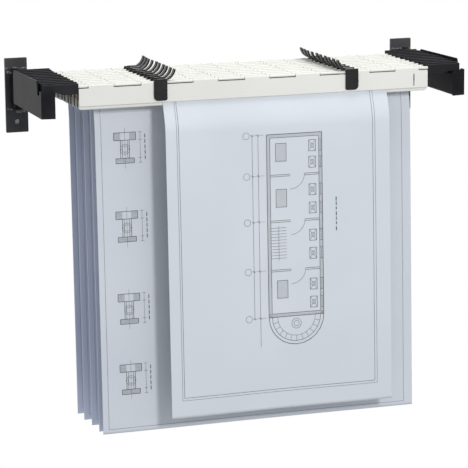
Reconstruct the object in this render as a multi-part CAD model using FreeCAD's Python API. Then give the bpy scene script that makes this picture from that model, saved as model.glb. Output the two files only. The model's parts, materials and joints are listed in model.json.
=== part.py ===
import FreeCAD, Part
import math
import os

from FreeCAD import Vector

# Plan hanging rack: two wall brackets with arms, and ten clamping binders that
# hang between the arms on plastic hangers and hold large drawing sheets.
# Millimetres. X runs along the binders, +Y into the wall, +Z up. The origin is
# the centre of the four bolt holes, on the back plane of the wall plates.

# ---- binders, driving dimensions ----------------------------------------
binder_count = 10
binder_length = 650.0
binder_pitch = 21.4          # front to back spacing of the binders
binder_depth = 16.0          # front face of a binder to the back of it
binder_top = 50.0            # height of the binders' top edge
face_height = 38.0           # front face, top edge to lower edge
lip_drop = 6.0               # how far the rear jaw reaches below the front face
jaw_steel = 1.2
rod_radius = 1.3             # hinge rod along the top edge
knuckle_outer = 2.6          # radius of the knuckles rolled round the rod
knuckle_count = 13
end_knuckle = 16.6           # length of the knuckle at each end
hanger_reach = 62.0          # how far a hanger sticks out of the binder
hanger_width = 17.4
lever_inset = 147.0          # binder end to the middle of a lever
pivot_drop = 19.0            # lever's pivot below the top edge
pivot_outboard = 8.5         # and from the lever's middle, towards the binder's end
pivot_radius = 3.0

# how far each binder sits off the middle, front one first
binder_shift = (0.0, 0.0, -0.7, 0.2, -0.8, 0.0, -1.6, -2.2, -1.0, 0.6)

# ---- brackets, driving dimensions ---------------------------------------
bolt_spacing_x = 750.0
bolt_spacing_z = 92.0
bolt_hole_radius = 4.5
plate_width = 41.0
plate_thickness = 5.0
plate_above_bolt = 24.0      # plate edge above the upper hole
plate_below_bolt = 20.0
arm_reach = 267.0            # wall to the front of the nose
arm_half_spacing = 393.5     # middle of the rack to the outer face of an arm
arm_width = 24.0
arm_steel = 2.5
arm_bottom = -4.5
ledge_top = 39.0             # the surface that the hangers rest on
nose_top = 42.5
nose_lead = 9.0              # the nose stands this far in front of the front binder
nose_skew = 2.0              # the nose leads on its inner edge and lags on its outer by this
guard_top_front = 58.5       # top of the tall outer wall, which rises to the front
guard_top_rear = 55.5
guard_start = 28.0           # nose to the front edge of the outer wall's tall part
guard_rear = 60.0            # wall to the rear end of the outer wall
slit_start = 14.0            # a relief slit runs from here to guard_start
slit_depth = 8.0
root_recess = 9.0            # the root is this much narrower than the arm
foot_depth = 17.0            # and reaches this far below it

# ---- drawing sheets, driving dimensions ----------------------------------
a2_width, a2_length = 420.0, 594.0
roll_width, roll_cut = 594.0, 624.0
sheet_thickness = 0.6
sheet_grip = 29.0            # length of a sheet that is up inside the jaws
front_sheet_left = -173.6    # left edge of the sheet in the front binder
front_sheet_bulge, front_sheet_lean = 14.0, 14.0
rear_sheet_bulge, rear_sheet_lean = 8.0, 15.0
rear_sheets = {3: -287.3, 4: -289.7, 6: -291.0, 8: -292.4, 10: -295.6}   # binder: left edge

# ---- details of the pieces ----------------------------------------------
running_clearance = 0.1      # between turning pieces
fit_gap = 0.4                # between a hanger and the jaw round it
overshoot = 1.0              # cutting tools and hidden overlaps reach this far

jaw_end_gap = 0.5            # the front jaw is this much shorter at each end
front_jaw_bend, rear_jaw_bend = 1.0, 1.8
knuckle_gap = 1.2            # free length at each end of a front jaw's knuckle
slot_inset, slot_width = 26.0, 2.0           # index slot near the right end of a face
slot_top, slot_bottom = 12.0, 33.5           # below the top edge
mark_inset, mark_drop = 89.5, 10.5           # round mark on the face
mark_radius, mark_rise = 1.6, 0.4
top_step = 1.5               # the rear jaw's top lies this far below its knuckles
corner_cut = 4.0             # lower corners of the rear jaw
upstand_front = 4.0          # front of the rear jaw's upstand, behind the face
upstand_drop = 26.0          # its top edge, below the binder's

tongue_rise = 3.0            # a hanger's front wall above the binder
ridge_rise = 4.3             # and the ridge behind its groove
ridge_width = 6.4
front_round, ridge_round = 2.4, 0.8          # upper edges of the front wall and the ridge
shoulder_start, shoulder_end = 28.5, 39.0    # the deep part tapers off between these
shoulder_drop = 15.5         # its lower edge, below the binder's top edge
groove_start = 3.0           # the groove leaves the tongue's ends solid for this length
groove_width, groove_depth = 6.0, 3.4
plug_length, plug_front, plug_drop = 35.0, 7.5, 13.0

lever_width, lever_steel, lever_depth = 24.0, 2.2, 9.0
lever_front = 2.5            # front of the tab, ahead of the binder's face
lever_drop, lever_rise = 34.5, 0.9           # reach below and above the top edge
outer_round, inner_round = 7.5, 4.0          # lower corners of the tab
flange_start = 4.6           # pivot to the outboard end of the top flange
inner_head_radius, inner_head_depth = 5.0, 1.0
outer_head_radius, outer_head_depth = 4.0, 0.5

sheet_gap = 0.7              # upstand to the middle of the sheet
sheet_straight = 5.0         # a sheet leaves the jaws straight for this length
sheet_bend_end = 57.0        # and has swung forward this far below the face
sheet_bend = 25.0

plate_corner = 1.5
arm_bend = 3.5
front_chamfer, rear_chamfer = 6.0, 5.0       # slants at the ends of the outer wall's top
foot_length, slope_length = 14.0, 32.0       # the foot's level part, and to where it ends
top_flange = 11.0            # the root's flange above the ledge
root_overlap = 12.0          # the root's web runs this far inside the outer wall
bead_radius = 2.6

# ---- derived places -----------------------------------------------------
half_length = binder_length / 2
front_face = nose_lead - arm_reach           # y of the front binder's face
knuckle_notch = 2 * knuckle_outer + 1.0      # where the plates stop short of the knuckles
knuckle_pitch = (binder_length - 2 * end_knuckle) / knuckle_count
pivot_x = half_length - lever_inset + pivot_outboard
arm_outer = -arm_half_spacing                # faces of the left arm
arm_inner = arm_outer + arm_width
root_outer = arm_outer + root_recess
arm_rear = -plate_thickness
nose_front = -arm_reach


# ---- helpers ------------------------------------------------------------
def box(x0, x1, y0, y1, z0, z1):
    return Part.makeBox(x1 - x0, y1 - y0, z1 - z0, Vector(x0, y0, z0))


def prism(points, direction):
    """Solid of a closed outline of straight edges, pushed along a vector."""
    wire = Part.makePolygon(points + [points[0]])
    return Part.Face(wire).extrude(direction)


def cylinder_along_y(radius, x, y0, y1, z):
    return Part.makeCylinder(radius, y1 - y0, Vector(x, y0, z), Vector(0, 1, 0))


def cylinder_on_hinge_line(radius, x0, x1):
    return Part.makeCylinder(radius, x1 - x0, Vector(x0, knuckle_outer, -knuckle_outer),
                             Vector(1, 0, 0))


def rounded_top(solid, radius, y):
    """Round the upper edge that runs along X at the given y."""
    top = solid.BoundBox.ZMax
    edges = [edge for edge in solid.Edges
             if edge.BoundBox.ZMin > top - radius / 2 and edge.BoundBox.XLength > radius
             and abs(edge.BoundBox.Center.y - y) < radius / 2]
    return solid.makeFillet(radius, edges)


def fused(shapes):
    whole = shapes[0].multiFuse(shapes[1:]).removeSplitter()
    return whole.Solids[0] if len(whole.Solids) == 1 else whole


def face_of(lines):
    return Part.Face(Part.Wire([line.toShape() for line in lines]))


def side_lines(path, radius, offset):
    """Lines and arcs of a path's one side, with concentric arcs at its bends."""
    lines = []
    run = path[1].sub(path[0]).normalize()
    start = path[0].add(Vector(0, -run.z, run.y) * offset)
    for i in range(1, len(path) - 1):
        corner = path[i]
        before = corner.sub(path[i - 1]).normalize()
        after = path[i + 1].sub(corner).normalize()
        side = 1 if before.y * after.z > before.z * after.y else -1
        inward_before = Vector(0, -before.z, before.y) * side
        inward_after = Vector(0, -after.z, after.y) * side
        tangent = radius * math.tan(before.getAngle(after) / 2)
        centre = corner.sub(before * tangent).add(inward_before * radius)
        bend = radius - side * offset
        arc_start = centre.sub(inward_before * bend)
        arc_end = centre.sub(inward_after * bend)
        arc_middle = centre.add(corner.sub(centre).normalize() * bend)
        lines.append(Part.LineSegment(start, arc_start))
        lines.append(Part.Arc(arc_start, arc_middle, arc_end))
        start = arc_end
    run = path[-1].sub(path[-2]).normalize()
    lines.append(Part.LineSegment(start, path[-1].add(Vector(0, -run.z, run.y) * offset)))
    return lines


def folded_strip(path, thickness, radius, x0, x1):
    """Sheet bent along a path in the YZ plane and running from x0 to x1."""
    left = side_lines(path, radius, thickness / 2)
    right = side_lines(path, radius, -thickness / 2)
    start_cap = Part.LineSegment(left[0].StartPoint, right[0].StartPoint)
    end_cap = Part.LineSegment(left[-1].EndPoint, right[-1].EndPoint)
    face = face_of(left + [end_cap] + right[::-1] + [start_cap])
    face.translate(Vector(x0, 0, 0))
    return face.extrude(Vector(x1 - x0, 0, 0))


# ---- binder pieces, drawn with the front face at y = 0, top edge at z = 0 ----
def knuckle_edges():
    return [-half_length + end_knuckle + i * knuckle_pitch for i in range(knuckle_count + 1)]


def knuckle(x0, x1, bore):
    """Tube about the hinge line."""
    tube = cylinder_on_hinge_line(knuckle_outer, x0, x1)
    return tube.cut(cylinder_on_hinge_line(bore, x0, x1))


def make_front_jaw():
    """Face with a hem below and every second knuckle above, holes for the levers."""
    end = half_length - jaw_end_gap
    hem_y = upstand_front - running_clearance - jaw_steel
    hem_z = jaw_steel / 2 - face_height
    parts = [folded_strip([Vector(0, jaw_steel / 2, -knuckle_notch),
                           Vector(0, jaw_steel / 2, hem_z),
                           Vector(0, hem_y, hem_z)], jaw_steel, front_jaw_bend, -end, end)]
    edges = knuckle_edges()
    for i in range(0, knuckle_count, 2):
        x0, x1 = edges[i] + knuckle_gap, edges[i + 1] - knuckle_gap
        parts.append(box(x0, x1, 0, jaw_steel, -knuckle_notch - overshoot, -knuckle_outer))
        upper_half = box(x0, x1, 0, 2 * knuckle_outer, -knuckle_outer, 0)
        parts.append(knuckle(x0, x1, rod_radius + running_clearance).common(upper_half))
    jaw = fused(parts)
    for side in (-1, 1):
        jaw = jaw.cut(cylinder_along_y(pivot_radius + running_clearance, side * pivot_x,
                                       -overshoot, jaw_steel + overshoot, -pivot_drop))
    slot_x = half_length - slot_inset
    jaw = jaw.cut(box(slot_x - slot_width, slot_x, -overshoot, jaw_steel + overshoot,
                      -slot_bottom, -slot_top))
    mark = cylinder_along_y(mark_radius, half_length - mark_inset, -mark_rise, jaw_steel / 2,
                            -mark_drop)
    return fused([jaw, mark])


def make_rear_jaw():
    """Top, back, floor and upstand, with the other knuckles, and the rod in them."""
    half = jaw_steel / 2
    bottom = -face_height - lip_drop
    path = [Vector(0, knuckle_notch, -top_step - half),
            Vector(0, binder_depth - half, -top_step - half),
            Vector(0, binder_depth - half, bottom + half),
            Vector(0, upstand_front + half, bottom + half),
            Vector(0, upstand_front + half, -upstand_drop)]
    parts = [folded_strip(path, jaw_steel, rear_jaw_bend, -half_length, half_length)]
    edges = knuckle_edges()
    spans = [(-half_length, edges[0])]
    spans += [(edges[i], edges[i + 1]) for i in range(1, knuckle_count, 2)]
    spans.append((edges[-1], half_length))
    for x0, x1 in spans:
        parts.append(box(x0, x1, knuckle_outer + rod_radius + jaw_steel / 2,
                         knuckle_notch + overshoot, -top_step - jaw_steel, -top_step))
        parts.append(knuckle(x0, x1, rod_radius))
    jaw = fused(parts)
    for side in (-1, 1):
        end = side * half_length
        corner = [Vector(end + side, -overshoot, bottom - overshoot),
                  Vector(end - side * corner_cut, -overshoot, bottom - overshoot),
                  Vector(end - side * corner_cut, -overshoot, bottom),
                  Vector(end, -overshoot, bottom + corner_cut),
                  Vector(end + side, -overshoot, bottom + corner_cut)]
        jaw = jaw.cut(prism(corner, Vector(0, binder_depth + 2 * overshoot, 0)))
    rod = cylinder_on_hinge_line(rod_radius, -half_length, half_length)
    return Part.makeCompound([jaw, rod])


def make_hanger(side):
    """Plastic end piece: a plug inside the binder and a grooved tongue for the arm."""
    end = side * half_length
    rear = fit_gap + hanger_width
    ridge_front = rear - ridge_width
    outline = [(0, tongue_rise), (hanger_reach, tongue_rise),
               (hanger_reach, ledge_top - binder_top), (shoulder_end, ledge_top - binder_top),
               (shoulder_start, -shoulder_drop), (0, -shoulder_drop)]
    tongue = prism([Vector(end + side * out, fit_gap, z) for out, z in outline],
                   Vector(0, hanger_width, 0))
    tongue = rounded_top(tongue, front_round, fit_gap)
    xs = sorted((end, end + side * hanger_reach))
    ridge = rounded_top(box(*xs, ridge_front, rear, 0, ridge_rise), ridge_round, rear)
    groove_xs = sorted((end + side * groove_start, end + side * (hanger_reach - groove_start)))
    groove = box(*groove_xs, ridge_front - groove_width, ridge_front,
                 tongue_rise - groove_depth, tongue_rise + overshoot)
    plug_xs = sorted((end - side * plug_length, end + side * overshoot))
    plug_inset = jaw_steel + fit_gap
    plug = box(*plug_xs, plug_front, binder_depth - plug_inset,
               -plug_drop, -top_step - plug_inset)
    return fused([tongue.cut(groove), ridge, plug])


def make_lever(side):
    """Turning lever: a tab on the face, a curled tail over it, a spindle with two heads."""
    middle = side * (half_length - lever_inset)
    half = lever_width / 2
    bottom = -lever_drop
    lower, upper = lever_rise, lever_rise + lever_steel

    def at(x, z):
        """A point on the lever's front, with x towards the middle of the binder."""
        return Vector(middle - side * x, -lever_front, z)

    def corner_arc(corner_x, towards, radius):
        """Round between the bottom edge and a side, from the side to the bottom."""
        slant = radius * (1 - math.sqrt(0.5))
        return [at(corner_x, bottom + radius), at(corner_x + towards * slant, bottom + slant),
                at(corner_x + towards * radius, bottom)]

    inner_corner = corner_arc(half, -1, inner_round)
    outer_corner = corner_arc(-half, 1, outer_round)
    tab = face_of([Part.LineSegment(at(-half, upper), at(half, upper)),
                   Part.LineSegment(at(half, upper), inner_corner[0]),
                   Part.Arc(*inner_corner),
                   Part.LineSegment(inner_corner[-1], outer_corner[-1]),
                   Part.Arc(*outer_corner),
                   Part.LineSegment(outer_corner[0], at(-half, upper))])
    tab = tab.extrude(Vector(0, lever_steel, 0))

    flange = flange_start - pivot_outboard
    tail = face_of([Part.LineSegment(at(flange, lower), at(half, lower)),
                    Part.Arc(at(half, lower), at(21.0, 6.3), at(27.3, 18.6)),
                    Part.Arc(at(27.3, 18.6), at(26.3, 20.0), at(24.6, 19.6)),
                    Part.Arc(at(24.6, 19.6), at(19.2, 8.4), at(half, upper)),
                    Part.LineSegment(at(half, upper), at(flange, upper)),
                    Part.LineSegment(at(flange, upper), at(flange, lower))])
    tail = tail.extrude(Vector(0, lever_depth, 0))

    x = side * pivot_x
    head_y = jaw_steel + running_clearance
    spindle = cylinder_along_y(pivot_radius, x, -lever_front, head_y + overshoot / 2, -pivot_drop)
    inner_head = cylinder_along_y(inner_head_radius, x, head_y, head_y + inner_head_depth,
                                  -pivot_drop)
    outer_head = cylinder_along_y(outer_head_radius, x, -lever_front - outer_head_depth,
                                  -lever_front, -pivot_drop)
    return fused([tab, tail, spindle, inner_head, outer_head])


def make_sheet(left, width, length, bulge, lean):
    """Drawing sheets clamped at the top edge, swinging forward below the jaws."""
    y = upstand_front - sheet_gap
    top = sheet_grip - face_height
    path = [Vector(0, y, top),
            Vector(0, y, -face_height - sheet_straight),
            Vector(0, y - bulge, -face_height - sheet_bend_end),
            Vector(0, y - bulge - lean, top - length)]
    return folded_strip(path, sheet_thickness, sheet_bend, left, left + width)


# ---- bracket pieces, left side; the right side is the mirror image ----
def make_wall_plate():
    """Flat bar with two bolt holes."""
    x1 = (plate_width - bolt_spacing_x) / 2
    half_spacing = bolt_spacing_z / 2
    plate = box(x1 - plate_width, x1, -plate_thickness, 0,
                -half_spacing - plate_below_bolt, half_spacing + plate_above_bolt)
    corners = [edge for edge in plate.Edges if edge.BoundBox.YLength > plate_thickness / 2]
    plate = plate.makeFillet(plate_corner, corners)
    for z in (-half_spacing, half_spacing):
        plate = plate.cut(cylinder_along_y(bolt_hole_radius, -bolt_spacing_x / 2,
                                           -plate_thickness - overshoot, overshoot, z))
    return plate


def make_channel():
    """Ledge, inner web and floor, folded from one sheet, up to the slanted nose."""
    half = arm_steel / 2
    seam = arm_outer + arm_steel
    path = [Vector(0, seam, ledge_top - half),
            Vector(0, arm_inner - half, ledge_top - half),
            Vector(0, arm_inner - half, arm_bottom + half),
            Vector(0, seam, arm_bottom + half)]
    channel = folded_strip(path, arm_steel, arm_bend, -arm_rear, arm_reach)
    # the strip is drawn along X; turned, it runs along -Y
    channel.rotate(Vector(0, 0, 0), Vector(0, 0, 1), -90)
    low, high = arm_bottom - overshoot, nose_top + overshoot
    channel = channel.cut(box(arm_outer, root_outer, -guard_rear, overshoot, low, high))
    nose_back = nose_front + arm_steel
    before_nose = prism([Vector(arm_outer, nose_front - arm_steel, low),
                         Vector(arm_inner, nose_front - arm_steel, low),
                         Vector(arm_inner, nose_back - nose_skew, low),
                         Vector(arm_outer, nose_back + nose_skew, low)],
                        Vector(0, 0, high - low))
    return channel.cut(before_nose)


def make_nose():
    """Slanted plate that closes the front of the arm."""
    nose_back = nose_front + arm_steel
    return prism([Vector(arm_outer, nose_front + nose_skew, arm_bottom),
                  Vector(arm_inner, nose_front - nose_skew, arm_bottom),
                  Vector(arm_inner, nose_back - nose_skew, arm_bottom),
                  Vector(arm_outer, nose_back + nose_skew, arm_bottom)],
                 Vector(0, 0, nose_top - arm_bottom))


def make_root():
    """Deeper outer wall at the wall plate, and the flanges above and below it."""
    bottom = arm_bottom - foot_depth
    web_top = ledge_top - overshoot
    floor = arm_bottom + overshoot
    web_front = -guard_rear - root_overlap
    web = prism([Vector(root_outer, arm_rear, bottom),
                 Vector(root_outer, arm_rear - foot_length, bottom),
                 Vector(root_outer, arm_rear - slope_length, floor),
                 Vector(root_outer, web_front, floor),
                 Vector(root_outer, web_front, web_top),
                 Vector(root_outer, arm_rear, web_top)], Vector(arm_steel, 0, 0))
    flanges = [box(root_outer, arm_inner, arm_rear - arm_steel, arm_rear, z0, z1)
               for z0, z1 in ((bottom, floor), (web_top, ledge_top + top_flange))]
    return [web] + flanges


def make_outer_wall():
    """Tall plate that closes the channel's open side and guards the hangers' ends."""
    nose_end = nose_front + arm_steel + nose_skew
    tall_start = nose_front + guard_start
    outline = [Vector(arm_outer, -guard_rear, arm_bottom),
               Vector(arm_outer, nose_end, arm_bottom),
               Vector(arm_outer, nose_end, nose_top),
               Vector(arm_outer, nose_front + slit_start, nose_top),
               Vector(arm_outer, nose_front + slit_start, nose_top - slit_depth),
               Vector(arm_outer, tall_start, nose_top - slit_depth),
               Vector(arm_outer, tall_start, nose_top),
               Vector(arm_outer, tall_start + front_chamfer, guard_top_front),
               Vector(arm_outer, -guard_rear - rear_chamfer, guard_top_rear),
               Vector(arm_outer, -guard_rear, guard_top_rear - rear_chamfer)]
    wall = prism(outline, Vector(arm_steel, 0, 0))
    lead = 2 * nose_skew * arm_steel / arm_width
    filler = prism([Vector(arm_outer, nose_end, arm_bottom),
                    Vector(arm_outer + arm_steel, nose_end, arm_bottom),
                    Vector(arm_outer + arm_steel, nose_end - lead, arm_bottom)],
                   Vector(0, 0, nose_top - arm_bottom))
    return fused([wall, filler])


def make_beads():
    """Weld beads above, below and beside the arm's root on the wall plate."""
    beads = []
    for x0, x1, z, up in ((arm_outer + 3, arm_outer + 16, ledge_top + top_flange, 1),
                          (arm_outer + 12, arm_inner + 3, arm_bottom - foot_depth, -1)):
        rod = Part.makeCylinder(bead_radius, x1 - x0, Vector(x0, arm_rear, z), Vector(1, 0, 0))
        low, high = sorted((z, z + up * bead_radius))
        beads.append(rod.common(box(x0, x1, arm_rear - bead_radius, arm_rear, low, high)))
    low, high = arm_bottom - 6, ledge_top + 2
    column = Part.makeCylinder(bead_radius, high - low, Vector(root_outer, arm_rear, low))
    beads.append(column.common(box(root_outer - bead_radius, root_outer,
                                   arm_rear - bead_radius, arm_rear, low, high)))
    return beads


def make_arm():
    """The folded arm, its outer wall and the beads are separate, touching solids."""
    body = fused([make_channel(), make_nose()] + make_root())
    return Part.makeCompound([body, make_outer_wall()] + make_beads())


# ---- write every node ---------------------------------------------------
def export(name, shape):
    shape.exportStep("parts/%s.step" % name)


def export_on_binder(name, shape, number):
    """Write a binder's piece at its place in the row; number 1 is the front binder."""
    copy = shape.copy()
    copy.translate(Vector(binder_shift[number - 1], front_face + (number - 1) * binder_pitch,
                          binder_top))
    export("%s_%02d" % (name, number), copy)


def main():
    os.makedirs("parts", exist_ok=True)
    for name, shape in (("wall_plate", make_wall_plate()), ("arm", make_arm())):
        export(name + "_left", shape)
        export(name + "_right", shape.mirror(Vector(0, 0, 0), Vector(1, 0, 0)))

    pieces = {"front_jaw": make_front_jaw(), "rear_jaw": make_rear_jaw(),
              "lever_left": make_lever(-1), "lever_right": make_lever(1),
              "hangers": Part.makeCompound([make_hanger(-1), make_hanger(1)])}
    for number in range(1, binder_count + 1):
        for name, shape in pieces.items():
            export_on_binder(name, shape, number)

    front_sheet = make_sheet(front_sheet_left, a2_width, a2_length,
                             front_sheet_bulge, front_sheet_lean)
    export_on_binder("drawing_sheet", front_sheet, 1)
    for number, left in rear_sheets.items():
        sheet = make_sheet(left, roll_width, roll_cut, rear_sheet_bulge, rear_sheet_lean)
        export_on_binder("drawing_sheet", sheet, number)


main()
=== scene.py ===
import json
import math
import random

import bmesh
import bpy
from mathutils import Matrix, Vector


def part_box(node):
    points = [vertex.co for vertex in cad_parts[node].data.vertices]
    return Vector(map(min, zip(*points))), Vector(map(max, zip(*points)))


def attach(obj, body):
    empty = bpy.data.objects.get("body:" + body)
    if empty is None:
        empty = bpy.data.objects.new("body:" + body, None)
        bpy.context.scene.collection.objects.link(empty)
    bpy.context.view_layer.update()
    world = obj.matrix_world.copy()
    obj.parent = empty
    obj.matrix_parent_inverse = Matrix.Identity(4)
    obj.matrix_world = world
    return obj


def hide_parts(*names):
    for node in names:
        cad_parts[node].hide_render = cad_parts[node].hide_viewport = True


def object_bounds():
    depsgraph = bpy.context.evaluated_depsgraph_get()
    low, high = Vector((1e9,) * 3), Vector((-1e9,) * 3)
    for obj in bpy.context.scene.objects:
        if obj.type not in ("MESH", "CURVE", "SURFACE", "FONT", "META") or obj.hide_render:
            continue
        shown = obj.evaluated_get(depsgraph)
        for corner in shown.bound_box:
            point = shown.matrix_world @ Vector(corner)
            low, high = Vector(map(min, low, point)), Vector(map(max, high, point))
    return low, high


# Plan hanging rack: two black wall brackets, ten cream binders with black
# levers and hangers, and drawing sheets that hang from six of the binders.
# Metres, in the frame of the CAD model: X along the binders, +Y into the wall.

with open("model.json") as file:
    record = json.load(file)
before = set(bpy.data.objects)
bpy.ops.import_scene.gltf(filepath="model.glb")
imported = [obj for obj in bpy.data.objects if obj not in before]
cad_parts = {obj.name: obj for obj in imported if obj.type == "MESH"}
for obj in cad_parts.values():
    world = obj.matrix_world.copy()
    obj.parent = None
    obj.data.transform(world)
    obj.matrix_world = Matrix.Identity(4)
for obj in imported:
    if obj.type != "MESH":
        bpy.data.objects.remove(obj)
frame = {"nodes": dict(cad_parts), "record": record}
cad_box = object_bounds()

MM = 0.001

# ---- camera, from the photograph's vanishing directions ----
CAMERA_PLACE = Vector((-1.3934, -4.3465, 0.6376))
CLIP_END = 100.0
# degrees
CAMERA_YAW = 18.24
CAMERA_DOWN = 11.41
CAMERA_ROLL = -0.58
# millimetres
LENS = 190.0
SENSOR = 36.0

# ---- studio ----
# a light's name, place, width in metres and power in watts
LIGHTS = (("key", (0.6, -3.2, 1.0), 0.5, 41.5),
          ("top", (0.3, -0.6, 2.7), 1.4, 35.0),
          ("left", (-2.9, -0.1, 0.3), 0.9, 0.6))
LIGHTS_AIM = Vector((0, -0.15, -0.1))
SKY_COLOR = (0.90, 0.935, 1.0)
SKY_STRENGTH = 0.52
# the floor lies far under the rack, so that a camera that looks up is still above it
FLOOR_DROP = 2.2
FLOOR_REACH = 12.0

# ---- the inner faces of a rear jaw, which carry painted shade, lie this far inside its outer ones ----
JAW_FRONT = 4.6 * MM
JAW_BACK = 0.6 * MM
JAW_FLOOR = 0.6 * MM
JAW_TOP = 1.9 * MM

# ---- sheets: they hang where the CAD model's do, and are a little thinner ----
FRONT_SHEET = 1
REAR_SHEETS = (3, 4, 6, 8, 10)
A2_SIZE = (0.420, 0.594)
ROLL_SIZE = (0.594, 0.624)
SHEET_GRIP = 29.0 * MM
SHEET_BEHIND_FACE = 3.3 * MM
SHEET_THICKNESS = 0.4 * MM
SHEET_COLUMNS, SHEET_ROWS = 28, 130
# width of the strip along each side edge of a rear sheet that takes the painted highlight
EDGE_HIGHLIGHT_WIDTH = 1.0 * MM
# under the clamp a sheet bends forward by its bulge, and then leans on forward to its end
CLAMP_RUN = 5.0 * MM
BEND_RUN = 52.0 * MM
FRONT_BULGE, FRONT_LEAN = 14.0 * MM, 14.0 * MM
REAR_BULGE, REAR_LEAN = 8.0 * MM, 15.0 * MM
# least and most of the ripple across a sheet: its height in millimetres, and its waves
RIPPLE_HEIGHTS = (0.8, 1.6)
RIPPLE_WAVES = (0.8, 1.3)
RIPPLE_RUN = 4 * BEND_RUN

# ---- ink: how far it lies before a sheet's middle, and the widths of its lines ----
INK_LIFT = 0.45 * MM
HAIR, FINE, THIN, PLAIN, BOLD, THICK, HEAVY = (
    width * MM for width in (0.4, 0.5, 0.6, 0.7, 0.8, 0.9, 1.1))
FRONT_BORDER, SECOND_BORDER = 0.65 * MM, 0.45 * MM
FRONT_NOTE, JOINT_NOTE = 1.8 * MM, 1.5 * MM

# ---- the made-up floor plan on the front sheet; shares are of its length or depth ----
PLAN_LEFT, PLAN_TOP = 186 * MM, 96 * MM
PLAN_DEEP, PLAN_LONG = 104 * MM, 330 * MM
PLAN_WALL = 6 * MM
PLAN_INNER = (PLAN_LEFT + PLAN_WALL, PLAN_LEFT + PLAN_DEEP - PLAN_WALL)
WALL_SHARES = (0.0, 0.22, 0.47, 0.74, 1.0)
DOOR_START, DOOR_END, DOOR_LEAF = 0.42, 0.68, 0.26
BENCH_SHARES = (0.04, 0.13, 0.28, 0.38, 0.53, 0.63, 0.80, 0.90)
TABLE_SHARES = (0.05, 0.30, 0.80)
STAIR_START, STAIR_END, STAIR_EDGE, STAIR_MIDDLE = 0.50, 0.69, 0.34, 0.2

# ---- screws and welds at the wall plates ----
SCREW_GAP = 0.2 * MM
SCREW_OFF_WALL = 1.2 * MM
SCREW_HEIGHT = 3.0 * MM
SCREW_SIDES = 36
HEX_SHARE = 0.40
# rings of a screw's head: share of its radius, share of its height, and if it is hexagonal
SCREW_RINGS = ((1.0, 0.0, False), (1.0, 0.8, False), (0.88, 1.0, False),
               (HEX_SHARE, 1.0, True), (HEX_SHARE, 0.4, True))
# a run's start and end in from the plate's outer edge, its height, the number of its lumps
# and their radius, with lengths in millimetres
WELD_RUNS = ((2.5, 38.5, 51.0, 12, 2.0), (4.5, 18.5, 44.0, 5, 2.7),
             (4.5, 11.0, -23.5, 3, 2.4), (22.0, 34.0, -27.5, 6, 2.9))
WELD_FLATNESS = 0.7
WELD_SEED = 11
# how far a lump strays along its run and across it, in millimetres, and its size
WELD_STRAY_ALONG, WELD_STRAY_ACROSS = 0.4, 0.9
WELD_SIZES = (0.8, 1.2)


# ---- materials ----
def new_material(name, color, roughness):
    """A material with one Principled shader; returns it with its shader, nodes and links."""
    material = bpy.data.materials.new(name)
    material.use_nodes = True
    nodes, links = material.node_tree.nodes, material.node_tree.links
    shader = nodes["Principled BSDF"]
    shader.inputs["Base Color"].default_value = (*color, 1)
    shader.inputs["Roughness"].default_value = roughness
    return material, shader, nodes, links


def add_noise(nodes, links, scale):
    """Noise that stays on its piece."""
    place = nodes.new("ShaderNodeTexCoord")
    noise = nodes.new("ShaderNodeTexNoise")
    noise.inputs["Scale"].default_value = scale
    links.new(place.outputs["Object"], noise.inputs["Vector"])
    return noise


def add_tones(shader, nodes, links, dark, light, scale):
    """Slow change of colour between two near tones."""
    noise = add_noise(nodes, links, scale)
    ramp = nodes.new("ShaderNodeValToRGB")
    for stop, position, tone in zip(ramp.color_ramp.elements, (0.35, 0.65), (dark, light)):
        stop.position = position
        stop.color = (*tone, 1)
    links.new(noise.outputs["Fac"], ramp.inputs["Fac"])
    links.new(ramp.outputs["Color"], shader.inputs["Base Color"])


def add_grain(shader, nodes, links, scale, strength, distance):
    """Fine bump, such as a powder coat or moulded grain has."""
    noise = add_noise(nodes, links, scale)
    noise.inputs["Detail"].default_value = 3.0
    bump = nodes.new("ShaderNodeBump")
    bump.inputs["Strength"].default_value = strength
    bump.inputs["Distance"].default_value = distance
    links.new(noise.outputs["Fac"], bump.inputs["Height"])
    links.new(bump.outputs["Normal"], shader.inputs["Normal"])


def surface(name, color, roughness, gloss=0.5, metal=0.0, tones=None, grain=None):
    """One finish: tones are dark, light and scale; grain is scale, strength and distance."""
    material, shader, nodes, links = new_material(name, color, roughness)
    shader.inputs["Specular IOR Level"].default_value = gloss
    shader.inputs["Metallic"].default_value = metal
    if tones:
        add_tones(shader, nodes, links, *tones)
    if grain:
        add_grain(shader, nodes, links, *grain)
    return material


def black_steel(name, dark, light, gloss):
    return surface(name, light, 0.42, gloss=gloss, tones=(dark, light, 18.0),
                   grain=(900.0, 0.25, 0.4 * MM))


def paper(name, dark, light):
    return surface(name, light, 0.62, tones=(dark, light, 4.0), grain=(1500.0, 0.05, 0.1 * MM))


def ink(name, color, dark, light):
    return surface(name, color, 0.7, tones=(dark, light, 80.0))


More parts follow.
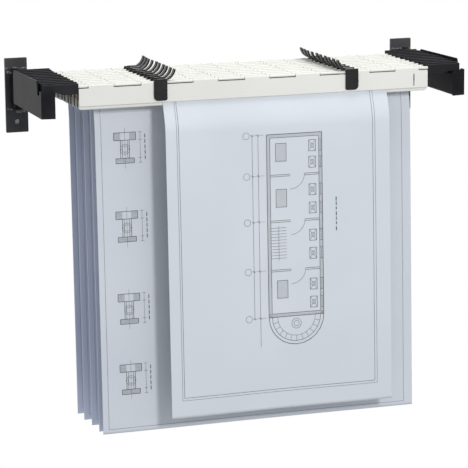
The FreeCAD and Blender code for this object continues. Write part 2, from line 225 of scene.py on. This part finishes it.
MATERIALS = {
    # painted light: the wall plates get a lighter copy of the arms' black paint, for the light
    # they catch
    "plate_steel_lit_copy": black_steel("black_plate_lit_copy", (0.028, 0.028, 0.031), (0.044, 0.044, 0.049), 0.32),
    "arm_steel": black_steel("black_arm", (0.010, 0.010, 0.012), (0.021, 0.021, 0.024), 0.055),
    "cream_steel": surface("cream_powder_coat", (0.795, 0.785, 0.725), 0.38,
                           tones=((0.78, 0.77, 0.71), (0.81, 0.80, 0.74), 9.0),
                           grain=(1400.0, 0.08, 0.2 * MM)),
    "black_plastic": surface("black_moulding", (0.022, 0.022, 0.024), 0.58, gloss=0.07,
                             tones=((0.018, 0.018, 0.020), (0.026, 0.026, 0.029), 25.0),
                             grain=(1600.0, 0.15, 0.2 * MM)),
    "lever_paint": surface("black_lever_paint", (0.007, 0.007, 0.008), 0.28, gloss=0.26,
                           tones=((0.006, 0.006, 0.007), (0.011, 0.011, 0.012), 60.0),
                           grain=(1200.0, 0.08, 0.2 * MM)),
    # painted shade: a warm dark brown on the faces inside the binders, where the shade falls
    "jaw_inside_shade": surface("jaw_inside_painted_shade", (0.30, 0.25, 0.19), 0.7,
                      tones=((0.22, 0.18, 0.13), (0.36, 0.31, 0.24), 120.0),
                      grain=(900.0, 0.2, 0.3 * MM)),
    "front_paper": paper("front_drawing_paper", (0.65, 0.68, 0.72), (0.69, 0.72, 0.75)),
    "paper": paper("drawing_paper", (0.63, 0.66, 0.71), (0.67, 0.70, 0.74)),
    # painted shade: the rear sheets get a bluer copy of the paper, for the blue of the shade they
    # hang in
    "rear_paper_shade_tint": surface("rear_paper_painted_shade_tint", (0.69, 0.74, 0.87), 0.5,
                    tones=((0.66, 0.71, 0.84), (0.72, 0.77, 0.90), 5.0),
                    grain=(1500.0, 0.05, 0.1 * MM)),
    # painted highlight: a pale strip along the side edges of each rear sheet
    "edge_highlight": paper("rear_paper_painted_edge_highlight", (0.80, 0.84, 0.95), (0.86, 0.89, 0.97)),
    "ink": ink("drawing_ink", (0.06, 0.065, 0.075), (0.05, 0.055, 0.065), (0.08, 0.085, 0.095)),
    "pale_ink": ink("drawing_ink_pale", (0.42, 0.44, 0.48), (0.38, 0.40, 0.44),
                    (0.46, 0.48, 0.52)),
    "screw": surface("blackened_screw", (0.26, 0.26, 0.26), 0.40, metal=0.8,
                     grain=(700.0, 0.2, 0.3 * MM)),
    # painted highlight: the weld lumps are a lighter copy of the black paint, so that they shine
    "weld": surface("black_weld_lightened_for_highlight", (0.075, 0.075, 0.080), 0.25, gloss=0.8,
                    grain=(500.0, 0.5, 0.8 * MM)),
}

# a CAD node's name starts with one of these, or it is a sheet, which a piece replaces
NODE_LOOKS = {"wall_plate": "plate_steel_lit_copy", "arm": "arm_steel", "rear_jaw": "cream_steel",
              "front_jaw": "cream_steel", "hangers": "black_plastic", "lever": "lever_paint"}


def paint(obj, material):
    slots = obj.data.materials
    if len(slots) == 0:
        slots.append(material)
    for i in range(len(slots)):
        slots[i] = material


def shade_rear_jaw_inside(obj):
    """Painted shade on the faces inside a rear jaw: all that lie within its outer faces."""
    obj.data.materials.append(MATERIALS["jaw_inside_shade"])
    places = [obj.matrix_world @ vertex.co for vertex in obj.data.vertices]
    front, back = min(place.y for place in places), max(place.y for place in places)
    floor, top = min(place.z for place in places), max(place.z for place in places)
    for face in obj.data.polygons:
        corners = [places[i] for i in face.vertices]
        if all(front + JAW_FRONT < corner.y < back - JAW_BACK
               and floor + JAW_FLOOR < corner.z < top - JAW_TOP for corner in corners):
            face.material_index = len(obj.data.materials) - 1


def dress_cad_nodes():
    """Materials on the steel and plastic nodes."""
    for name, obj in frame["nodes"].items():
        for start, look in NODE_LOOKS.items():
            if name.startswith(start):
                paint(obj, MATERIALS[look])
        # painted shade inside each rear jaw
        if name.startswith("rear_jaw"):
            shade_rear_jaw_inside(obj)


# ---- making objects ----
def add_object(name, data):
    obj = bpy.data.objects.new(name, data)
    bpy.context.scene.collection.objects.link(obj)
    return obj


def build_mesh(name, vertices, faces, material):
    mesh = bpy.data.meshes.new(name)
    mesh.from_pydata(vertices, [], faces)
    mesh.update()
    mesh.materials.append(material)
    return add_object(name, mesh)


def smooth(obj):
    for face in obj.data.polygons:
        face.use_smooth = True


# ---- sheets ----
class HungSheet:
    """The surface of one sheet: u runs across it from the left edge, v down from its top."""

    def __init__(self, number, size, bulge, lean, seed):
        self.number = number
        self.width, self.length = size
        self.bulge, self.lean = bulge, lean
        low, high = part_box("drawing_sheet_%02d" % number)
        self.left, self.top = low[0], high[2]
        self.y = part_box("rear_jaw_%02d" % number)[0][1] + SHEET_BEHIND_FACE
        self.fall_run = self.length - SHEET_GRIP - CLAMP_RUN - BEND_RUN
        draw = random.Random(seed)
        self.phase = draw.uniform(0, 2 * math.pi)
        self.ripple = draw.uniform(*RIPPLE_HEIGHTS) * MM
        self.waves = draw.uniform(*RIPPLE_WAVES)

    def depth(self, u, v):
        """How far forward the sheet hangs at a place on it."""
        below = v - SHEET_GRIP - CLAMP_RUN
        if below <= 0:
            return 0.0
        bend = min(1.0, below / BEND_RUN)
        forward = self.bulge * math.sin(bend * math.pi / 2)
        forward += self.lean * (max(0.0, below - BEND_RUN) / self.fall_run)
        ripple = self.ripple * math.sin(2 * math.pi * self.waves * u / self.width + self.phase)
        return forward + ripple * min(1.0, below / RIPPLE_RUN)

    def point(self, u, v, lift):
        return Vector((self.left + u, self.y - self.depth(u, v) - lift, self.top - v))


def sheet_piece(sheet, name, look):
    """A closed thin solid that follows the sheet's surface; a rear sheet takes a bluer paper that
    is painted shade, with a painted highlight along its side edges.
    """
    rows, columns = SHEET_ROWS, SHEET_COLUMNS + 2
    inner_width = sheet.width - 2 * EDGE_HIGHLIGHT_WIDTH
    across = [EDGE_HIGHLIGHT_WIDTH + inner_width * i / SHEET_COLUMNS for i in range(SHEET_COLUMNS + 1)]
    across = [0.0] + across + [sheet.width]
    half = SHEET_THICKNESS / 2
    grid = [sheet.point(u, sheet.length * j / rows, side)
            for side in (half, -half) for j in range(rows + 1) for u in across]
    layer = (columns + 1) * (rows + 1)

    def at(side, i, j):
        return side * layer + j * (columns + 1) + i

    faces = []
    for j in range(rows):
        for i in range(columns):
            faces.append((at(0, i, j), at(0, i, j + 1), at(0, i + 1, j + 1), at(0, i + 1, j)))
            faces.append((at(1, i, j), at(1, i + 1, j), at(1, i + 1, j + 1), at(1, i, j + 1)))
    for i in range(columns):
        faces.append((at(0, i, 0), at(0, i + 1, 0), at(1, i + 1, 0), at(1, i, 0)))
        faces.append((at(0, i, rows), at(1, i, rows), at(1, i + 1, rows), at(0, i + 1, rows)))
    for j in range(rows):
        faces.append((at(0, 0, j), at(1, 0, j), at(1, 0, j + 1), at(0, 0, j + 1)))
        faces.append((at(0, columns, j), at(0, columns, j + 1),
                      at(1, columns, j + 1), at(1, columns, j)))
    obj = build_mesh(name, grid, faces, MATERIALS[look])
    smooth(obj)
    # rear sheets: painted highlight on the strips along their side edges
    if look == "rear_paper_shade_tint":
        obj.data.materials.append(MATERIALS["edge_highlight"])
        for face in obj.data.polygons:
            middle = sum(across[i % (columns + 1)] for i in face.vertices) / len(face.vertices)
            if not EDGE_HIGHLIGHT_WIDTH < middle < sheet.width - EDGE_HIGHLIGHT_WIDTH:
                face.material_index = 1
    return obj


class Pen:
    """Collects inked lines on a sheet as narrow strips that follow its surface."""

    STEP = 5.0 * MM
    ARC_STEP = 15
    LEAST_SIDES = 8

    def __init__(self, sheet):
        self.sheet = sheet
        self.vertices, self.faces = [], []

    def line(self, u0, v0, u1, v1, width):
        length = math.hypot(u1 - u0, v1 - v0)
        across = (-(v1 - v0) / length * width / 2, (u1 - u0) / length * width / 2)
        pieces = math.ceil(length / self.STEP)
        start = len(self.vertices)
        for i in range(pieces + 1):
            u = u0 + (u1 - u0) * i / pieces
            v = v0 + (v1 - v0) * i / pieces
            self.vertices.append(self.sheet.point(u - across[0], v - across[1], INK_LIFT))
            self.vertices.append(self.sheet.point(u + across[0], v + across[1], INK_LIFT))
        for i in range(pieces):
            a = start + 2 * i
            self.faces.append((a, a + 1, a + 3, a + 2))

    def path(self, points, width, closed=False):
        ends = points[1:] + points[:1] if closed else points[1:]
        for (u0, v0), (u1, v1) in zip(points, ends):
            self.line(u0, v0, u1, v1, width)

    def rectangle(self, u, v, w, h, width):
        self.path([(u, v), (u + w, v), (u + w, v + h), (u, v + h)], width, closed=True)

    def circle(self, u, v, radius, width, turn=360):
        """A circle, or the arc of it that starts at the right and turns down."""
        count = max(self.LEAST_SIDES, turn // self.ARC_STEP)
        angles = [math.radians(turn * i / count) for i in range(count + 1)]
        self.path([(u + radius * math.cos(angle), v + radius * math.sin(angle))
                   for angle in angles], width)

    def hatch(self, u, v, w, h, gap, width):
        """Slanting lines that fill a rectangle."""
        reach = gap
        while reach < w + h:
            u0, v0 = u + min(reach, w), v + max(0.0, reach - w)
            u1, v1 = u + max(0.0, reach - h), v + min(reach, h)
            self.line(u0, v0, u1, v1, width)
            reach += gap

    def border(self, left, right, top, bottom, width):
        """A line round the sheet, with its margins in millimetres."""
        u0, u1 = left * MM, self.sheet.width - right * MM
        v0, v1 = top * MM, self.sheet.length - bottom * MM
        self.path([(u0, v0), (u1, v0), (u1, v1), (u0, v1)], width, closed=True)

    def piece(self, look):
        return build_mesh("ink_lines_%02d" % self.sheet.number, self.vertices, self.faces,
                          MATERIALS[look])


# ---- the front sheet: a made-up floor plan of a round-ended workshop, on its side ----
def draw_outer_walls(pen):
    """Two rectangles with hatching between them."""
    gap = 3.5 * MM
    pen.rectangle(PLAN_LEFT, PLAN_TOP, PLAN_DEEP, PLAN_LONG, HEAVY)
    pen.rectangle(PLAN_INNER[0], PLAN_TOP + PLAN_WALL,
                  PLAN_DEEP - 2 * PLAN_WALL, PLAN_LONG - 2 * PLAN_WALL, BOLD)
    for u in (PLAN_LEFT, PLAN_INNER[1]):
        pen.hatch(u, PLAN_TOP, PLAN_WALL, PLAN_LONG, gap, FINE)
    for v in (PLAN_TOP, PLAN_TOP + PLAN_LONG - PLAN_WALL):
        pen.hatch(PLAN_LEFT, v, PLAN_DEEP, PLAN_WALL, gap, FINE)


def draw_rooms(pen):
    """Walls across the plan, each with a doorway and the sweep of its door."""
    thickness = 3 * MM
    hinge = PLAN_LEFT + PLAN_DEEP * DOOR_START
    for share in WALL_SHARES[1:-1]:
        v = PLAN_TOP + PLAN_LONG * share
        for edge in (v, v + thickness):
            pen.line(PLAN_INNER[0], edge, hinge, edge, BOLD)
            pen.line(PLAN_LEFT + PLAN_DEEP * DOOR_END, edge, PLAN_INNER[1], edge, BOLD)
        pen.circle(hinge, v, PLAN_DEEP * DOOR_LEAF, THIN, turn=90)


def draw_stairs(pen):
    treads, going, first_tread = 11, 5.5 * MM, 0.51
    for i in range(treads):
        v = PLAN_TOP + PLAN_LONG * first_tread + i * going
        pen.line(PLAN_INNER[0], v, PLAN_LEFT + PLAN_DEEP * STAIR_EDGE, v, THIN)
    middle = PLAN_LEFT + PLAN_DEEP * STAIR_MIDDLE
    pen.line(middle, PLAN_TOP + PLAN_LONG * STAIR_START,
             middle, PLAN_TOP + PLAN_LONG * STAIR_END, THIN)


def draw_window(pen, u, v, w, h):
    """An opening in a wall: two sills and a glass line."""
    pen.rectangle(u, v, w, h, PLAIN)
    pen.line(u + w / 2, v, u + w / 2, v + h, FINE)


def draw_bench(pen, u, v, w, h):
    """A crossed box with a round seat."""
    seat = 0.3
    pen.rectangle(u, v, w, h, BOLD)
    pen.line(u, v, u + w, v + h, FINE)
    pen.line(u + w, v, u, v + h, FINE)
    pen.circle(u + w / 2, v + h / 2, w * seat, THIN)


def draw_furniture(pen):
    """Windows with a bench at each, and hatched tables on the other side."""
    opening, bench_off, bench_width = 20 * MM, 19 * MM, 13 * MM
    for share in BENCH_SHARES:
        v = PLAN_TOP + PLAN_LONG * share
        draw_window(pen, PLAN_INNER[1], v, PLAN_WALL, opening)
        draw_bench(pen, PLAN_INNER[1] - bench_off, v, bench_width, opening)
    table_left, table_size, gap = PLAN_LEFT + PLAN_DEEP * 0.16, (20 * MM, 32 * MM), 4 * MM
    for share in TABLE_SHARES:
        table = (table_left, PLAN_TOP + PLAN_LONG * share, *table_size)
        pen.rectangle(*table, BOLD)
        pen.hatch(*table, gap, FINE)


def draw_round_end(pen):
    """Three half rings with spokes between the inner two, and a round post."""
    ring_depth, spoke_step, post_off = 16 * MM, 15, 14 * MM
    middle, end = PLAN_LEFT + PLAN_DEEP / 2, PLAN_TOP + PLAN_LONG
    outer, inner = PLAN_DEEP / 2 - PLAN_WALL, PLAN_DEEP / 2 - ring_depth
    for radius, width in ((PLAN_DEEP / 2, HEAVY), (outer, BOLD), (inner, THIN)):
        pen.circle(middle, end, radius, width, turn=180)
    for angle in range(spoke_step, 180, spoke_step):
        turn = math.radians(angle)
        pen.line(middle + inner * math.cos(turn), end + inner * math.sin(turn),
                 middle + outer * math.cos(turn), end + outer * math.sin(turn), THIN)
    for radius in (9 * MM, 5 * MM):
        pen.circle(middle, end + post_off, radius, PLAIN)


def draw_dimensions(pen):
    """Two dimension lines with their ticks and leads, and a ring at each wall."""
    tick, lead, clear = 2 * MM, 3 * MM, 4 * MM
    ring_off, ring_radius = 38 * MM, 6 * MM
    for offset, reach in ((16 * MM, PLAN_LONG + PLAN_DEEP / 2), (27 * MM, PLAN_LONG)):
        u = PLAN_LEFT - offset
        pen.line(u, PLAN_TOP, u, PLAN_TOP + reach, THIN)
        for share in WALL_SHARES:
            v = PLAN_TOP + PLAN_LONG * share
            pen.line(u - tick, v - tick, u + tick, v + tick, BOLD)
            pen.line(u - lead, v, PLAN_LEFT - clear, v, HAIR)
    for share in WALL_SHARES:
        pen.circle(PLAN_LEFT - ring_off, PLAN_TOP + PLAN_LONG * share, ring_radius, THIN)


def draw_note(pen):
    """A row of strokes of three lengths that stands in for a note."""
    strokes, pitch, longest = 7, 9 * MM, 7
    u, first = PLAN_LEFT + PLAN_DEEP + 26 * MM, PLAN_TOP + PLAN_LONG * 0.36
    for i in range(strokes):
        v = first + i * pitch
        pen.line(u, v, u, v + (longest - i % 3) * MM, FRONT_NOTE)


def draw_front_sheet(sheet):
    pen = Pen(sheet)
    pen.border(left=24, right=33, top=20, bottom=36, width=FRONT_BORDER)
    pen.border(left=20.5, right=28.5, top=16, bottom=31.5, width=FINE)
    for draw_part in (draw_outer_walls, draw_rooms, draw_stairs, draw_furniture,
                      draw_round_end, draw_dimensions, draw_note):
        draw_part(pen)
    return pen.piece("ink")


# ---- the sheets behind it ----
def draw_joint(pen, u, v, size):
    """A made-up pipe joint in section, with a thread of short notes beside it."""
    def area(across, down, wide, high):
        """A rectangle that is placed and sized in shares of the joint's size."""
        return u + size * across, v + size * down, size * wide, size * high

    gap = 3 * MM
    middle = u + size * 0.5
    flange_high, pipe_high, foot_top, foot_end = 0.34, 0.8, 1.14, 1.36
    foot = area(0.08, foot_top, 0.84, 0.22)
    # flange, pipe, bore, two rings and foot
    pen.rectangle(*area(0, 0, 1, flange_high), THICK)
    pen.rectangle(*area(0.3, flange_high, 0.4, pipe_high), THICK)
    pen.rectangle(*area(0.38, flange_high, 0.24, pipe_high), THIN)
    for radius in (0.14, 0.22):
        pen.circle(middle, v + size * 0.74, size * radius, THIN)
    pen.rectangle(*foot, THICK)
    for cut in (foot, area(0, 0, 0.3, flange_high), area(0.7, 0, 0.3, flange_high)):
        pen.hatch(*cut, gap, THIN)
    # centre line
    pen.line(middle, v - size * 0.2, middle, v + size * 1.6, HAIR)
    # dimension line and its ticks
    pen.line(u + size * 1.2, v, u + size * 1.2, v + size * foot_end, FINE)
    for share in (0, flange_high, foot_top, foot_end):
        pen.line(u + size * 1.12, v + size * share, u + size * 1.28, v + size * share, THIN)
    # notes
    for i in range(5):
        start = v + size * (0.1 + 0.24 * i)
        pen.line(u + size * 1.42, start, u + size * 1.42, start + size * 0.17, JOINT_NOTE)


def draw_second_sheet(sheet):
    """A column of joints beside the front sheet, and a few smaller ones below it."""
    pen = Pen(sheet)
    pen.border(left=11, right=17, top=15, bottom=8, width=SECOND_BORDER)
    column_left, large, row_top, small = 34 * MM, 40 * MM, 586 * MM, 15 * MM
    for v in (84, 224, 372, 500):
        draw_joint(pen, column_left, v * MM, large)
    for u in (230, 330, 430):
        draw_joint(pen, u * MM, row_top, small)
    return pen.piece("ink")


def draw_plain_sheet(sheet):
    pen = Pen(sheet)
    pen.border(left=10, right=15, top=15, bottom=10, width=THIN)
    return pen.piece("pale_ink")


def hang_sheets():
    """Each sheet's piece and ink, on the binder that holds it."""
    looks = {FRONT_SHEET: ("front_paper", draw_front_sheet),
             REAR_SHEETS[0]: ("paper", draw_second_sheet)}
    jobs = [(FRONT_SHEET, A2_SIZE, FRONT_BULGE, FRONT_LEAN)]
    jobs += [(number, ROLL_SIZE, REAR_BULGE, REAR_LEAN) for number in REAR_SHEETS]
    for number, size, bulge, lean in jobs:
        sheet = HungSheet(number, size, bulge, lean, seed=number)
        # the rear sheets take the bluer copy of the paper, which is painted shade
        look, draw_lines = looks.get(number, ("rear_paper_shade_tint", draw_plain_sheet))
        piece = sheet_piece(sheet, "hung_sheet_%02d" % number, look)
        lines = draw_lines(sheet)
        for obj in (piece, lines):
            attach(obj, "binder_%02d" % number)
        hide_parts("drawing_sheet_%02d" % number)


# ---- fixings and welds at the wall plates ----
def screw_head(name, centre, radius):
    """A screw's head with a chamfered rim and a hexagonal socket, facing away from the wall."""
    count = SCREW_SIDES
    vertices, faces = [], []
    for share, rise, is_hexagon in SCREW_RINGS:
        for i in range(count):
            angle = 2 * math.pi * i / count
            reach = share * radius
            if is_hexagon:
                reach /= math.cos(angle % (math.pi / 3) - math.pi / 6)
            vertices.append(Vector((centre.x + reach * math.cos(angle),
                                    centre.y - rise * SCREW_HEIGHT,
                                    centre.z + reach * math.sin(angle))))
    last = len(SCREW_RINGS) - 1
    faces.append(tuple(reversed(range(count))))
    faces.append(tuple(last * count + i for i in range(count)))
    for ring in range(last):
        for i in range(count):
            a, b = ring * count + i, ring * count + (i + 1) % count
            faces.append((a, b, b + count, a + count))
    return build_mesh(name, vertices, faces, MATERIALS["screw"])


def add_screws():
    """A screw in each bolt hole of the record."""
    mounts = {mount["name"]: mount for mount in frame["record"]["mounts"]}
    dims = mounts["wall_bolts"]["dims"]
    radius = dims["hole_r_mm"] * MM - SCREW_GAP
    corners = ((-1, -1), (-1, 1), (1, -1), (1, 1))
    for number, (x, z) in enumerate(corners, start=1):
        centre = Vector((x * dims["spacing_x_mm"] * MM / 2, -SCREW_OFF_WALL,
                         z * dims["spacing_y_mm"] * MM / 2))
        head = screw_head("wall_screw_%d" % number, centre, radius)
        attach(head, "wall_brackets")


def add_weld_blobs():
    """Lumpy weld metal around the root of each arm, where it meets the wall plate."""
    draw = random.Random(WELD_SEED)
    plate_edge, plate_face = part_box("wall_plate_left")[0][:2]
    for side, name in ((1, "left"), (-1, "right")):
        lumps = bmesh.new()
        for start, end, height, count, size in WELD_RUNS:
            for i in range(count):
                inboard = start + (end - start) * i / (count - 1)
                inboard += draw.uniform(-WELD_STRAY_ALONG, WELD_STRAY_ALONG)
                z = height + draw.uniform(-WELD_STRAY_ACROSS, WELD_STRAY_ACROSS)
                radius = size * draw.uniform(*WELD_SIZES) * MM
                place = Vector((side * (plate_edge + inboard * MM), plate_face, z * MM))
                shape = Matrix.Diagonal((radius, WELD_FLATNESS * radius, radius, 1))
                bmesh.ops.create_icosphere(lumps, subdivisions=2, radius=1.0,
                                           matrix=Matrix.Translation(place) @ shape)
        mesh = bpy.data.meshes.new("weld_blobs_" + name)
        lumps.to_mesh(mesh)
        lumps.free()
        # the weld lumps take the lighter black, a painted highlight
        mesh.materials.append(MATERIALS["weld"])
        blobs = add_object("weld_blobs_" + name, mesh)
        smooth(blobs)
        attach(blobs, "wall_brackets")


# ---- stage ----
def white_to_camera(nodes, links, shader_output, target):
    """Mixes in plain white for what the camera, gloss or glass sees directly."""
    path = nodes.new("ShaderNodeLightPath")
    seen = path.outputs["Is Camera Ray"]
    for ray in ("Is Glossy Ray", "Is Transmission Ray"):
        either = nodes.new("ShaderNodeMath")
        either.operation = "MAXIMUM"
        links.new(seen, either.inputs[0])
        links.new(path.outputs[ray], either.inputs[1])
        seen = either.outputs[0]
    white = nodes.new("ShaderNodeBackground" if target.node.type == "OUTPUT_WORLD"
                      else "ShaderNodeEmission")
    white.inputs["Color"].default_value = (1, 1, 1, 1)
    white.inputs["Strength"].default_value = 1.0
    mix = nodes.new("ShaderNodeMixShader")
    links.new(seen, mix.inputs["Fac"])
    links.new(shader_output, mix.inputs[1])
    links.new(white.outputs[0], mix.inputs[2])
    links.new(mix.outputs[0], target)


def make_world():
    world = bpy.data.worlds.new("studio")
    bpy.context.scene.world = world
    world.use_nodes = True
    nodes, links = world.node_tree.nodes, world.node_tree.links
    nodes["Background"].inputs["Color"].default_value = (*SKY_COLOR, 1)
    nodes["Background"].inputs["Strength"].default_value = SKY_STRENGTH
    white_to_camera(nodes, links, nodes["Background"].outputs[0],
                    nodes["World Output"].inputs["Surface"])


def make_floor():
    low = cad_box[0][2] - FLOOR_DROP
    corners = [Vector((x * FLOOR_REACH, y * FLOOR_REACH, low))
               for x, y in ((-1, -1), (1, -1), (1, 1), (-1, 1))]
    material, shader, nodes, links = new_material("pale_floor", (0.9, 0.9, 0.9), 0.8)
    floor = build_mesh("floor", corners, [(0, 1, 2, 3)], material)
    white_to_camera(nodes, links, shader.outputs[0], nodes["Material Output"].inputs["Surface"])


def make_lights():
    for name, place, width, power in LIGHTS:
        light = bpy.data.lights.new(name, "AREA")
        light.shape = "SQUARE"
        light.size = width
        light.energy = power
        obj = add_object(name, light)
        obj.location = place
        obj.rotation_euler = (LIGHTS_AIM - Vector(place)).to_track_quat("-Z", "Y").to_euler()


def make_camera():
    yaw, down, roll = (math.radians(angle) for angle in (CAMERA_YAW, CAMERA_DOWN, CAMERA_ROLL))
    ahead = Vector((math.sin(yaw) * math.cos(down), math.cos(yaw) * math.cos(down),
                    -math.sin(down)))
    level_right = ahead.cross(Vector((0, 0, 1))).normalized()
    level_up = level_right.cross(ahead)
    right = level_right * math.cos(roll) + level_up * math.sin(roll)
    up = level_up * math.cos(roll) - level_right * math.sin(roll)
    data = bpy.data.cameras.new("camera")
    data.lens = LENS
    data.sensor_width = SENSOR
    data.clip_end = CLIP_END
    camera = add_object("camera", data)
    turn = Matrix((right, up, -ahead)).transposed()
    camera.matrix_world = Matrix.Translation(CAMERA_PLACE) @ turn.to_4x4()
    bpy.context.scene.camera = camera


bpy.context.scene.view_settings.view_transform = "Standard"
dress_cad_nodes()
hang_sheets()
add_screws()
add_weld_blobs()
make_world()
make_floor()
make_lights()
make_camera()
